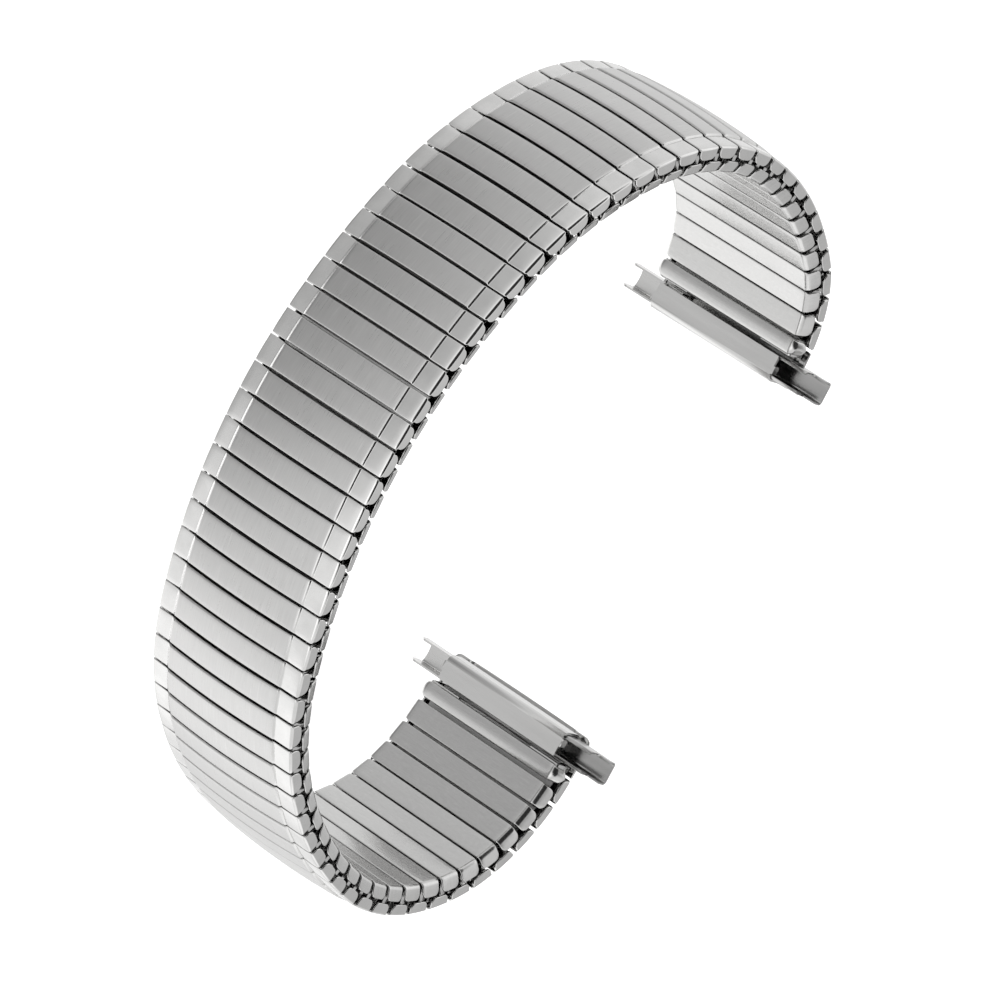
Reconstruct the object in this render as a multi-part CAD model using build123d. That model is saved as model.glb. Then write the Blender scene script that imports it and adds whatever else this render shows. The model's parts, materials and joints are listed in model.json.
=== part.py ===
"""Expansion watch band: two staggered layers of links, held together by sprung staples.

Every piece is drawn in a link's own axes: x along the band, y towards the wrist and z across the
band, towards the near edge.  The outer layer therefore has negative y.
"""
import os
from math import cos, radians, sin, tan

from build123d import *

# The band as a whole
BAND_WIDTH = 16.0
LINK_PITCH = 2.4
LAYER_GAP = 0.2
INNER_SHARE = 0.5
STAPLE_SHARE = 0.25

# How the band lies: the links in each stretch, and the turn from one link to the next in degrees
STRETCHES = [
    (4, 12.5), (6, 5.0), (6, 7.0), (6, 5.0), (6, 3.0), (5, 3.5),
    (5, 3.0), (5, 5.5), (6, 4.0), (6, 8.0), (3, 10.5), (3, 8.5),
]
# Outer links in each segment, and the segments that a stretching pair of staples follows
SEGMENT_LINKS = [7, 7, 7, 6, 6, 6, 7, 7, 7]
STRETCH_AFTER = (1, 3, 6, 8)

# Sleeves, the box tubes that the staple legs sit in
SLEEVE_LENGTH = 14.4
SLEEVE_WIDTH = 2.2
SLEEVE_HEIGHT = 1.0
SLEEVE_WALL = 0.1

# Stamped covers of the outer links
COVER_WIDTH = 2.3
COVER_SHEET = 0.2
COVER_CENTRE_LENGTH = 11.8
COVER_RISE = 0.18
COVER_CROWN = 0.25
COVER_STEP_RUN = 0.2
COVER_BEND = 0.3
COVER_TAB_DEPTH = 1.12
COVER_TAB_CORNER = 0.7

# Plain inner links
INNER_WIDTH = 2.06
INNER_HEIGHT = 1.2
INNER_WALL = 0.14
INNER_BEND = 0.5
INNER_TAB_DEPTH = 1.2
INNER_TAB_SLANT = 20.0
INNER_TAB_WIDTH = 1.9
INNER_TAB_CORNER = 0.5

# Domed inner links beside the end pieces
RIDGE_WIDTH = 1.8
RIDGE_WALL = 0.08
RIDGE_EDGE_HEIGHT = 1.17
RIDGE_CROWN = 0.17
RIDGE_TAB_WIDTH = 1.5

# Staples
STAPLE_WIDTH = 0.45
STAPLE_SHEET = 0.18
STAPLE_LEG = 3.1
STAPLE_BEND = 0.25
STAPLE_CLEARANCE = 0.1
BRIDGE_CLEARANCE = 0.1
END_STAPLE_SHARE = 0.28

# Leaf springs
SPRING_SHEET = 0.1
SPRING_WIDTH = 1.3
SPRING_LENGTH = 13.4
SPRING_FOOT = 2.6
SPRING_FLAT = 3.0
SPRING_LEG_CLEARANCE = 0.09
SPRING_WALL_CLEARANCE = 0.03

# End cases
CASE_SHIFT_SHARE = 0.4
CASE_LENGTH = 13.6
CASE_SHEET = 0.2
CASE_FREE_REACH = 1.3
CASE_MOUTH_REACH = 0.95
CASE_DEPTH = 2.45
CASE_CORNER = 0.6
SOCKET_WIDTH = 0.8
CATCH_WIDTH = 0.7
CATCH_SHEET = 0.18
CATCH_DEPTH = 0.7
CATCH_CORNER = 0.3
CATCH_OFFSET = 0.3

# Covers of the end pieces
END_COVER_FREE_REACH = 1.5
END_COVER_BAND_REACH = 2.2
END_COVER_BEND = 0.3
END_COVER_LIP = 0.4
END_COVER_LIP_CORNER = 0.08
END_COVER_CORNER = 0.8

# Telescoping slides
SLIDE_CLEARANCE = 0.05
SLIDE_SHEET = 0.15
SLIDE_WIDTH = 2.1
SLIDE_CORNER = 0.35
SLIDE_STRAP = 0.3
SLIDE_STRAP_CLEARANCE = 0.1
SLIDE_TAIL = 2.1
NEAR_SLIDE_REACH = 4.4
NEAR_SLIDE_RIM = 0.3
NEAR_SCOOP_LENGTH = 1.5
NEAR_SCOOP_HEIGHT = 0.95
NEAR_SCOOP_CORNER = 0.4
FAR_SLIDE_REACH = 3.9
FAR_WALL_HEIGHT = 1.6
FAR_PRONG_LENGTH = 0.4
FAR_PRONG_ROUND = 0.7
FAR_FLOOR_HOLLOW = 0.12

OVERRUN = 1.0

# Levels worked out from the sizes above
OUTER_LINKS = sum(SEGMENT_LINKS)
COVER_SEAT = -LAYER_GAP / 2 - SLEEVE_HEIGHT
COVER_FACE = COVER_SEAT - COVER_SHEET
COVER_TAB_END = COVER_FACE + COVER_TAB_DEPTH
WRIST_FACE = LAYER_GAP / 2 + INNER_HEIGHT
UPPER_LEG_FACE = COVER_SEAT + SLEEVE_WALL + STAPLE_CLEARANCE
LOWER_LEG_FACE = WRIST_FACE - INNER_WALL - STAPLE_CLEARANCE
BRIDGE_INSIDE = SLEEVE_LENGTH / 2 + BRIDGE_CLEARANCE
CASE_WRIST_FACE = COVER_SEAT + CASE_DEPTH
SLIDE_FLOOR = COVER_SEAT + CASE_SHEET + SLIDE_CLEARANCE
SLIDE_TOP = CASE_WRIST_FACE - CASE_SHEET - SLIDE_CLEARANCE


def place(station):
    """Axes of the band's middle line at a station counted in links, 0 beside the first end piece."""
    x, y, angle, left = 0.0, 0.0, 0.0, max(station, 0.0)
    for links, turn in STRETCHES:
        here = min(left, links)
        bend, half = radians(turn) * here, radians(turn) * here / 2
        chord = LINK_PITCH / radians(turn) * 2 * sin(half)
        x, y = x + chord * cos(angle + half), y + chord * sin(angle + half)
        angle, left = angle + bend, left - here
    straight = (min(station, 0.0) + left) * LINK_PITCH
    x, y = x + straight * cos(angle), y + straight * sin(angle)
    return Plane(origin=(x, y, 0), x_dir=(cos(angle), sin(angle), 0), z_dir=(0, 0, 1))


def at(station, piece):
    """A copy of a piece at a station of the band."""
    return piece.moved(place(station).location)


def face_of(points):
    """A flat face inside straight edges."""
    return make_face(Polyline(points, close=True))


def rounded(face, radius, chosen):
    """The face with the chosen corners rounded."""
    return fillet([corner for corner in face.vertices() if chosen(corner)], radius)


def along_band(face, width):
    """A solid from a face drawn in y and z, spread evenly along the band."""
    return extrude(Plane.YZ * face, amount=width / 2, both=True)


def across_band(face, length):
    """A solid from a face drawn in x and y, spread evenly across the band."""
    return extrude(face, amount=length / 2, both=True)


def block(x_range, y_range, z_range):
    """A block between pairs of limits."""
    sizes = [high - low for low, high in (x_range, y_range, z_range)]
    middle = [(low + high) / 2 for low, high in (x_range, y_range, z_range)]
    return Pos(*middle) * Box(*sizes)


def rectangle_between(x_range, y_range):
    """A rectangle between pairs of limits."""
    sizes = [high - low for low, high in (x_range, y_range)]
    middle = [(low + high) / 2 for low, high in (x_range, y_range)]
    return Pos(*middle) * Rectangle(*sizes)


def box_tube(width, low, high, wall, side_wall):
    """A box tube across the band, open at both ends."""
    outside = rectangle_between((-width / 2, width / 2), (low, high))
    inside_half = width / 2 - side_wall
    inside = rectangle_between((-inside_half, inside_half), (low + wall, high - wall))
    return across_band(outside - inside, SLEEVE_LENGTH)


def cover(width, bend, tab_end, tab_corner):
    """A stamped cover: crowned centre, a shoulder at each end and a tab folded down at each edge."""
    edge, centre = BAND_WIDTH / 2, COVER_CENTRE_LENGTH / 2
    raised = (COVER_FACE - COVER_RISE, COVER_SEAT - COVER_RISE)
    side = [
        (raised[0], centre),
        (COVER_FACE, centre + COVER_STEP_RUN),
        (COVER_FACE, edge),
        (tab_end, edge),
        (tab_end, edge - COVER_SHEET),
        (COVER_SEAT, edge - COVER_SHEET),
        (COVER_SEAT, centre + COVER_STEP_RUN),
        (raised[1], centre),
    ]
    ends = Polyline(side) + Polyline([(y, -z) for y, z in reversed(side)])
    crowns = [ThreePointArc((y, centre), (y - COVER_CROWN, 0), (y, -centre)) for y in raised]
    sheet = make_face(ends + crowns[0] + crowns[1])
    middle = (COVER_FACE + COVER_SEAT) / 2
    inner_edge = edge - COVER_SHEET / 2
    sheet = rounded(sheet, bend, lambda v: v.X < middle and abs(v.Y) > inner_edge)
    seat_limit = (COVER_SEAT + tab_end) / 2
    bend_zone = edge - bend
    sheet = rounded(
        sheet,
        bend - COVER_SHEET,
        lambda v: middle < v.X < seat_limit and bend_zone < abs(v.Y) < inner_edge,
    )
    solid = along_band(sheet, width)
    corners = solid.edges().filter_by(Axis.Z).group_by(Axis.Y)[-1]
    return fillet(corners, tab_corner)


def outer_sleeve():
    """The box tube under an outer cover."""
    return box_tube(SLEEVE_WIDTH, COVER_SEAT, -LAYER_GAP / 2, SLEEVE_WALL, SLEEVE_WALL)


def tabbed_plate(width, tab_width, face_y, wall):
    """The wrist plate of an inner link, with a slanting tab folded outwards at each band edge."""
    edge, tab_end = BAND_WIDTH / 2, face_y - INNER_TAB_DEPTH
    slant = radians(INNER_TAB_SLANT)
    fold = edge - INNER_TAB_DEPTH * tan(slant)
    through = wall / cos(slant)
    side = [
        (face_y, fold),
        (tab_end, edge),
        (tab_end, edge - through),
        (face_y - wall, fold + wall * tan(slant) - through),
    ]
    sheet = face_of(side + [(y, -z) for y, z in reversed(side)])
    sheet = rounded(sheet, INNER_BEND, lambda v: v.X > face_y - wall / 2)
    sheet = rounded(sheet, INNER_BEND - wall, lambda v: abs(v.X - face_y + wall) < wall / 4)
    plate = along_band(sheet, width)
    half, tab_half = width / 2, tab_width / 2
    right = [(half, SLEEVE_LENGTH / 2), (tab_half, fold), (tab_half, edge)]
    top = right + [(-x, z) for x, z in reversed(right)]
    outline = face_of(top + [(x, -z) for x, z in reversed(top)])
    plate &= extrude(Plane.XZ * outline, amount=OVERRUN + INNER_HEIGHT + RIDGE_CROWN, both=True)
    under = face_y - wall
    right = [(tab_half, tab_end), (tab_half, under), (half, under), (half, face_y + OVERRUN)]
    front = face_of(right + [(-x, y) for x, y in reversed(right)])
    front = rounded(front, INNER_TAB_CORNER, lambda v: v.Y < (tab_end + under) / 2)
    return plate & across_band(front, BAND_WIDTH + OVERRUN)


def inner_link():
    """A plain inner link: box tube, wrist plate and end tabs in one piece."""
    tube = box_tube(INNER_WIDTH, LAYER_GAP / 2, WRIST_FACE, INNER_WALL, SLEEVE_WALL)
    return tube + tabbed_plate(INNER_WIDTH, INNER_TAB_WIDTH, WRIST_FACE, INNER_WALL)


def ridge_link():
    """The narrow domed inner link beside an end piece."""
    half, low = RIDGE_WIDTH / 2, LAYER_GAP / 2
    edge_y = low + RIDGE_EDGE_HEIGHT
    sides = Polyline([(-half, edge_y), (-half, low), (half, low), (half, edge_y)])
    crown = ThreePointArc((half, edge_y), (0, edge_y + RIDGE_CROWN), (-half, edge_y))
    inside_half = half - RIDGE_WALL
    inside = rectangle_between((-inside_half, inside_half), (low + INNER_WALL, WRIST_FACE - INNER_WALL))
    tube = across_band(make_face(sides + crown) - inside, SLEEVE_LENGTH)
    return tube + tabbed_plate(RIDGE_WIDTH, RIDGE_TAB_WIDTH, edge_y, INNER_WALL)


def staple(side):
    """A U-shaped staple: one leg in the outer layer, one in the inner, bridged at the band edge."""
    outside, foot = BRIDGE_INSIDE + STAPLE_SHEET, BRIDGE_INSIDE - STAPLE_LEG
    points = [
        (UPPER_LEG_FACE, foot),
        (UPPER_LEG_FACE, outside),
        (LOWER_LEG_FACE, outside),
        (LOWER_LEG_FACE, foot),
        (LOWER_LEG_FACE - STAPLE_SHEET, foot),
        (LOWER_LEG_FACE - STAPLE_SHEET, BRIDGE_INSIDE),
        (UPPER_LEG_FACE + STAPLE_SHEET, BRIDGE_INSIDE),
        (UPPER_LEG_FACE + STAPLE_SHEET, foot),
    ]
    profile = rounded(face_of(points), STAPLE_BEND, lambda v: v.Y > outside - STAPLE_SHEET / 2)
    solid = along_band(profile, STAPLE_WIDTH)
    return solid if side > 0 else mirror(solid, about=Plane.XY)


def staple_pair(station):
    """The staples of one crossing, at the near and the far edge of the band."""
    return [at(station, staple(side)) for side in (1, -1)]


def leaf_spring(wall_y, leg_y, width):
    """A bowed strip that rests on one wall and presses the staple legs against the other."""
    way = 1 if leg_y > wall_y else -1
    low = wall_y + way * SPRING_WALL_CLEARANCE
    high = leg_y - way * SPRING_LEG_CLEARANCE
    end, foot, flat = SPRING_LENGTH / 2, SPRING_LENGTH / 2 - SPRING_FOOT, SPRING_FLAT / 2
    sheet = way * SPRING_SHEET
    bow = [(high, -end), (high, -foot), (low + sheet, -flat), (low + sheet, flat), (high, foot), (high, end)]
    return along_band(face_of(bow + [(y - sheet, z) for y, z in reversed(bow)]), width)


def outer_spring():
    """The leaf spring of an outer sleeve."""
    return leaf_spring(-LAYER_GAP / 2 - SLEEVE_WALL, UPPER_LEG_FACE + STAPLE_SHEET, SPRING_WIDTH)


def inner_spring():
    """The leaf spring of an inner link."""
    return leaf_spring(LAYER_GAP / 2 + INNER_WALL, LOWER_LEG_FACE - STAPLE_SHEET, SPRING_WIDTH)


def socket_middle():
    """Middle of the case's staple socket along the band, from the middle of the case."""
    leg_level = -(UPPER_LEG_FACE + STAPLE_SHEET / 2)
    first_turn = radians(STRETCHES[0][1])
    arc = END_STAPLE_SHARE * first_turn
    return CASE_SHIFT_SHARE * LINK_PITCH + (LINK_PITCH / first_turn + leg_level) * sin(arc)


def end_case():
    """The folded case of an end piece, with its mouth and staple socket on the band's side."""
    free, mouth = -CASE_FREE_REACH, CASE_MOUTH_REACH
    socket_low = socket_middle() - SOCKET_WIDTH / 2
    socket_high = socket_middle() + SOCKET_WIDTH / 2
    roof, floor = COVER_SEAT + CASE_SHEET, CASE_WRIST_FACE - CASE_SHEET
    outline = face_of([
        (mouth, CASE_WRIST_FACE),
        (free, CASE_WRIST_FACE),
        (free, COVER_SEAT),
        (socket_high, COVER_SEAT),
        (socket_high, -LAYER_GAP / 2),
        (socket_low, -LAYER_GAP / 2),
        (socket_low, roof),
        (free + CASE_SHEET, roof),
        (free + CASE_SHEET, floor),
        (mouth, floor),
    ])
    outline = rounded(outline, CASE_CORNER, lambda v: v.X < free + CASE_SHEET / 2)
    outline = rounded(
        outline,
        CASE_CORNER - CASE_SHEET,
        lambda v: v.X < free + CASE_SHEET + CASE_SHEET / 2 and roof <= v.Y <= floor
        and v.X > free + CASE_SHEET / 2,
    )
    outline -= rectangle_between(
        (socket_low + SLEEVE_WALL, socket_high - SLEEVE_WALL),
        (COVER_SEAT + SLEEVE_WALL, -LAYER_GAP / 2 - SLEEVE_WALL),
    )
    case = across_band(outline, CASE_LENGTH)
    end = CASE_LENGTH / 2
    for side in (1, -1):
        catch = block(
            (-CATCH_OFFSET - CATCH_WIDTH / 2, -CATCH_OFFSET + CATCH_WIDTH / 2),
            (CASE_WRIST_FACE - CATCH_DEPTH, CASE_WRIST_FACE),
            sorted((side * end, side * (end + CATCH_SHEET))),
        )
        tips = catch.edges().filter_by(Axis.Z).group_by(Axis.Y)[0]
        case += fillet(tips, CATCH_CORNER)
    return case


def end_cover():
    """The cover of an end piece: a wider cover with short lips and a rounded free side."""
    width = END_COVER_FREE_REACH + END_COVER_BAND_REACH
    shift = (END_COVER_BAND_REACH - END_COVER_FREE_REACH) / 2
    lip_end = COVER_FACE + END_COVER_LIP
    shell = Pos(shift, 0, 0) * cover(width, END_COVER_BEND, lip_end, END_COVER_LIP_CORNER)
    edge, free = BAND_WIDTH / 2, -END_COVER_FREE_REACH
    outline = face_of([
        (free, -edge),
        (END_COVER_BAND_REACH, -edge),
        (END_COVER_BAND_REACH, edge),
        (free, edge),
    ])
    outline = rounded(outline, END_COVER_CORNER, lambda v: v.X < 0)
    return shell & extrude(Plane.XZ * outline, amount=CASE_DEPTH, both=True)


def slide_channel(tip, opening, wall_top):
    """A trough across the band: floor on the outer side, open towards the wrist, with a stop strap."""
    tail = CASE_LENGTH / 2 - SLIDE_TAIL
    depth, middle = SLIDE_TOP - SLIDE_FLOOR, (SLIDE_TOP + SLIDE_FLOOR) / 2
    bore_width, bore_depth = SLIDE_WIDTH - 2 * SLIDE_SHEET, depth - 2 * SLIDE_SHEET
    section = RectangleRounded(SLIDE_WIDTH, depth, SLIDE_CORNER)
    section -= RectangleRounded(bore_width, bore_depth, SLIDE_CORNER - SLIDE_SHEET)
    channel = Pos(0, middle, tail) * extrude(section, amount=tip - tail)
    strap_end = CASE_LENGTH / 2 - SLIDE_STRAP_CLEARANCE
    for z_range in ((tail - OVERRUN, strap_end - SLIDE_STRAP), (strap_end, tip + OVERRUN)):
        channel -= block((-opening / 2, opening / 2), (middle, SLIDE_TOP + OVERRUN), z_range)
        channel -= block((-SLIDE_WIDTH, SLIDE_WIDTH), (wall_top, SLIDE_TOP + OVERRUN), z_range)
    return channel


def near_slide():
    """The near slide: an open trough whose walls step down to a scoop at the tip."""
    tip = CASE_LENGTH / 2 + NEAR_SLIDE_REACH
    channel = slide_channel(tip, SLIDE_WIDTH - 2 * NEAR_SLIDE_RIM, SLIDE_TOP)
    scoop = block(
        (-SLIDE_WIDTH, SLIDE_WIDTH),
        (SLIDE_FLOOR + NEAR_SCOOP_HEIGHT, SLIDE_TOP + OVERRUN),
        (tip - NEAR_SCOOP_LENGTH, tip + OVERRUN),
    )
    corner = scoop.edges().filter_by(Axis.X).group_by(Axis.Z)[0].group_by(Axis.Y)[0]
    return channel - fillet(corner, NEAR_SCOOP_CORNER)


def far_slide():
    """The far slide: a fork of two rounded prongs beyond a hollowed floor."""
    tip = CASE_LENGTH / 2 + FAR_SLIDE_REACH
    channel = slide_channel(tip, SLIDE_WIDTH - 2 * SLIDE_SHEET, SLIDE_FLOOR + FAR_WALL_HEIGHT)
    half, floor_end = SLIDE_WIDTH / 2 - SLIDE_SHEET, tip - FAR_PRONG_LENGTH
    bite = Polyline([(-half, floor_end), (-half, tip + OVERRUN), (half, tip + OVERRUN), (half, floor_end)])
    hollow = ThreePointArc((half, floor_end), (0, floor_end - FAR_FLOOR_HOLLOW), (-half, floor_end))
    channel -= extrude(Plane.XZ * make_face(bite + hollow), amount=CASE_DEPTH, both=True)
    tips = channel.edges().filter_by(Axis.X).group_by(Axis.Z)[-1]
    return mirror(fillet(tips, FAR_PRONG_ROUND), about=Plane.XY)


def segment_range(segment):
    """First and last outer link of a segment; its inner links have the same numbers."""
    first = sum(SEGMENT_LINKS[:segment - 1]) + 1
    return first, first + SEGMENT_LINKS[segment - 1] - 1


def segment_nodes(segment):
    """All nodes of one segment of the band."""
    first, last = segment_range(segment)
    outer_stations = list(range(first, last + 1))
    inner_stations = [link - INNER_SHARE for link in outer_stations]
    ridge_stations = {INNER_SHARE, OUTER_LINKS + INNER_SHARE}
    if last == OUTER_LINKS:
        inner_stations.append(OUTER_LINKS + INNER_SHARE)
    plain_stations = [station for station in inner_stations if station not in ridge_stations]
    crossings = [link + side * STAPLE_SHARE for link in outer_stations for side in (-1, 1)]
    if last != OUTER_LINKS:
        crossings.pop()
    if segment - 1 not in STRETCH_AFTER and first > 1:
        crossings.insert(0, first - 1 + STAPLE_SHARE)
    if first == 1:
        crossings.insert(0, END_STAPLE_SHARE)
    if last == OUTER_LINKS:
        crossings.append(OUTER_LINKS + 1 - END_STAPLE_SHARE)
    springs = [at(station, outer_spring()) for station in outer_stations]
    springs += [at(station, inner_spring()) for station in inner_stations]
    link_cover = cover(COVER_WIDTH, COVER_BEND, COVER_TAB_END, COVER_TAB_CORNER)
    sleeve, link = outer_sleeve(), inner_link()
    return {
        f"outer_covers_{segment}": [at(station, link_cover) for station in outer_stations],
        f"outer_sleeves_{segment}": [at(station, sleeve) for station in outer_stations],
        f"inner_links_{segment}": [at(station, link) for station in plain_stations],
        f"staples_{segment}": [piece for station in crossings for piece in staple_pair(station)],
        f"leaf_springs_{segment}": springs,
    }


def end_nodes(name, station, flipped):
    """All nodes of one end piece; the second one is the mirror image of the first."""
    pieces = {
        "end_case": end_case(),
        "end_cover": end_cover(),
        "near_slide": near_slide(),
        "far_slide": far_slide(),
    }
    if flipped:
        pieces = {kind: mirror(piece, about=Plane.YZ) for kind, piece in pieces.items()}
    return {f"{kind}_{name}": [at(station, piece)] for kind, piece in pieces.items()}


def all_nodes():
    """Every node with its solids, before the band is set down on its far edge."""
    nodes = {}
    for segment in range(1, len(SEGMENT_LINKS) + 1):
        nodes |= segment_nodes(segment)
    for segment in STRETCH_AFTER:
        station = segment_range(segment)[1] + STAPLE_SHARE
        nodes[f"stretch_staples_{segment}"] = staple_pair(station)
    nodes["ridge_link_a"] = [at(INNER_SHARE, ridge_link())]
    nodes["ridge_link_b"] = [at(OUTER_LINKS + INNER_SHARE, ridge_link())]
    nodes |= end_nodes("a", -CASE_SHIFT_SHARE, False)
    nodes |= end_nodes("b", OUTER_LINKS + 1 + CASE_SHIFT_SHARE, True)
    return nodes


def resting_shift(nodes):
    """The move that puts the middle of the band's underside at the origin."""
    boxes = [piece.bounding_box() for pieces in nodes.values() for piece in pieces]
    low = [min(getattr(box.min, axis) for box in boxes) for axis in "XYZ"]
    high = [max(getattr(box.max, axis) for box in boxes) for axis in "XYZ"]
    return (-(low[0] + high[0]) / 2, -(low[1] + high[1]) / 2, -low[2])


def main():
    """Write one file for each node."""
    nodes = all_nodes()
    shift = resting_shift(nodes)
    print("shift", [round(value, 5) for value in shift])
    os.makedirs("parts", exist_ok=True)
    for name, pieces in nodes.items():
        moved = [solid.moved(Location(shift)) for piece in pieces for solid in piece.solids()]
        shape = moved[0] if len(moved) == 1 else Compound(children=moved)
        export_step(shape, f"parts/{name}.step")


if __name__ == "__main__":
    main()
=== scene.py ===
"""The look of the expansion watch band: covers, links, end pieces, steel finishes and a white studio.

Local sizes are in millimetres, in a link's own axes: x along the band, y towards the wrist and z
across the band, towards the near edge.  The objects are in metres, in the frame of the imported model.
"""
import json
import math

import bmesh
import bpy
from mathutils import Matrix, Vector


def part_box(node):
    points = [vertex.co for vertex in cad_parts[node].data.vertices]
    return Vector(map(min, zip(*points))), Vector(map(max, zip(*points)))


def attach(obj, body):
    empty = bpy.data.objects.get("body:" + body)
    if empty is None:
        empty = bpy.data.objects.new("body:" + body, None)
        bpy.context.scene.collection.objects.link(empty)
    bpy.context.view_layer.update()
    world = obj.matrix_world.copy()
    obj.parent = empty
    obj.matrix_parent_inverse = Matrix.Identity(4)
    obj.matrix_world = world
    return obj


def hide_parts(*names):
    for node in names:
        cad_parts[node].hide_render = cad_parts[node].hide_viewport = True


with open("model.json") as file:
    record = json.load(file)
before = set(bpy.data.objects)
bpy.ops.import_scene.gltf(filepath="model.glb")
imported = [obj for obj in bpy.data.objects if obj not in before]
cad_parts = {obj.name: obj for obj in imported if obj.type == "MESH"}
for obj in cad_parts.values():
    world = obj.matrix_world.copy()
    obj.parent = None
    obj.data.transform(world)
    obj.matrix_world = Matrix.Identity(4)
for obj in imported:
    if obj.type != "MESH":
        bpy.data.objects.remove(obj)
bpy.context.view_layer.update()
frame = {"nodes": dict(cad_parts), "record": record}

MM = 0.001

# The band: its width, the pitch of its links, and how many links turn by how many degrees each
BAND_WIDTH = 16.0
LINK_PITCH = 2.4
STRETCHES = [
    (4, 12.5), (6, 5.0), (6, 7.0), (6, 5.0), (6, 3.0), (5, 3.5),
    (5, 3.0), (5, 5.5), (6, 4.0), (6, 8.0), (3, 10.5), (3, 8.5),
]
SEGMENT_LINKS = [7, 7, 7, 6, 6, 6, 7, 7, 7]
OUTER_LINKS = sum(SEGMENT_LINKS)
INNER_SHARE = 0.5

# The end pieces: where the band's middle line starts, counted from the end case and the near slide
CASE_SHIFT_SHARE = 0.4
CASE_FREE_REACH = 1.3
CASE_WRIST_FACE = 1.35
NEAR_TIP = 11.2

# Stamped covers: the face, the tabs and the sheet
COVER_FACE = -1.3
COVER_SETTLE = 0.045
COVER_SHEET = 0.2
COVER_WIDTH = 2.3
COVER_BEND = 0.26
COVER_TAB_END = -0.18
COVER_TAB_CORNER = 0.6

# The stamping: a raised, crowned centre with a lip and a step at its near end and a slope at its far end
COVER_CENTRE = 5.9
COVER_RISE = 0.18
COVER_CROWN = 0.25
COVER_DOME = 0.03
NEAR_LIP = 0.13
NEAR_LIP_DROP = 0.19
NEAR_STEP = 0.22
FAR_STEP = 0.4
DROOP = 0.045
DROOP_START = 7.15

# Long edges of the covers: how round they are, and how far they stand in or flare out
COVER_EDGE = 0.05
CENTRE_EDGE = 0.15
END_EDGE = 0.08
END_START = 6.5
CENTRE_INSET = 0.02
NEAR_TAB_INSET = 0.14
FAR_TAB_INSET = 0.05
FAR_FLARE = 0.055

# How far a cover may sit off its place, in millimetres and degrees, and how its own amount is drawn
LOOSE_SLIP = 0.025
LOOSE_LEAN = 0.7
LOOSE_SKEW = 0.12
LEAN_DRAW = 100
SKEW_DRAW = 200
CHANCE_STEP = 12.9898
CHANCE_SPREAD = 43758.5453

# Plain inner links: the plate, its tabs and the open box under it
INNER_WIDTH = 2.02
INNER_FACE = 1.3
INNER_WALL = 0.14
INNER_DOME = 0.01
INNER_BEND = 0.5
INNER_TAB_DEPTH = 1.2
INNER_TAB_SLANT = 20.0
INNER_TAB_WIDTH = 1.9
INNER_TAB_CORNER = 0.5
INNER_EDGE = 0.09
BOX_LENGTH = 14.4
BOX_FLOOR = 0.1
BOX_SIDE = 0.1
BOX_INSET = 0.02

# Domed links beside the end pieces
RIDGE_BAND_EDGE = 0.88
RIDGE_CASE_EDGE = -0.6
RIDGE_FACE = 1.25
RIDGE_DOME = 0.19
RIDGE_TAB_CUT = 0.12
RIDGE_EDGE = 0.13

# Covers of the end pieces
END_COVER_FREE = 1.42
END_COVER_BAND = 2.2
END_COVER_BEND = 0.3
END_COVER_LIP = 0.4
END_COVER_CORNER = 0.8
END_COVER_CORNER_SHARE = 0.9
END_COVER_LIP_CORNER = 0.08
END_COVER_EDGE = 0.11
END_COVER_INSIDE_EDGE = 0.09

# Every sheet: how round its inside edges are, and over what length a tab turns narrower
INSIDE_EDGE = 0.02
TAB_INSET_RUN = 0.3

# How finely the sheets are shaped: steps round each bend and edge, and rows along each stretch
BEND_STEPS = 8
CORNER_STEPS = 7
OUTSIDE_EDGE_STEPS = 4
INSIDE_EDGE_STEPS = 2
FACE_STEPS = 6
SLOPE_REACH = 0.01
TAB_MIDDLE_CLEAR = 0.05
STEP_CLEAR = 0.05
CENTRE_ROWS = (0.0, 0.2, 0.4, 0.58, 0.74, 0.87, 0.96)
STEP_ROWS = (0.0, 0.25, 0.5, 0.62, 0.75, 0.88, 1.0)
SHOULDER_ROWS = (0.25, 0.5, 0.75, 1.0)
PLATE_ROWS = (0.0, 0.35, 0.7, 0.95, 1.0)

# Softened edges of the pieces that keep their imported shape
WELD_REACH = 0.002
SOFT_EDGE = 0.03
SOFT_EDGE_STEPS = 2
SOFT_EDGE_ANGLE = 35.0

# Steel of the covers and links: its tint, and the least and most brightness and roughness
STEEL_TINT = (1.0, 0.995, 0.985)
CENTRE_LIGHT = (0.51, 0.59)
CENTRE_ROUGHNESS = (0.27, 0.37)
SHOULDER_LIGHT = (0.6, 0.67)
SHOULDER_ROUGHNESS = (0.14, 0.2)
LINK_LIGHT = (0.55, 0.61)
LINK_ROUGHNESS = (0.18, 0.25)
PATCHY_ROUGHNESS = (-0.03, 0.03)
SPOT_LIGHT = (0.0, 0.02)
SCRATCH_LIGHT = 0.06

# Fine relief: the share that the shoulders keep, its strength on each finish, and its height in metres
SHOULDER_GRAIN = 0.15
COVER_BUMP = 0.35
LINK_BUMP = 0.2
SHEET_BUMP = 0.15
BUMP_HEIGHT = 0.00001

# The middle of a noise pattern's range, and a wider part of it for softer changes
NOISE_MIDDLE = (0.3, 0.7)
NOISE_WIDE = (0.25, 0.75)
WHOLE = (0.0, 1.0)

# Single scratches and handled spots: how they differ from the grain and the patches, and where they begin
SCRATCH_STRETCH = (0.33, 0.9, 1.0)
SCRATCH_SPAN = (0.62, 0.74)
SPOT_FINENESS = 7.0
SPOT_SPAN = (0.45, 0.75)

# Painted highlight: where along the band, in millimetres, the shoulders' colour is made brighter to stand in
# for brighter reflections, and by how much
PAINTED_SHEEN_RISE = (36.0, 46.0)
PAINTED_SHEEN_FALL = (76.0, 92.0)
PAINTED_SHEEN_GAIN = 0.13
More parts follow.
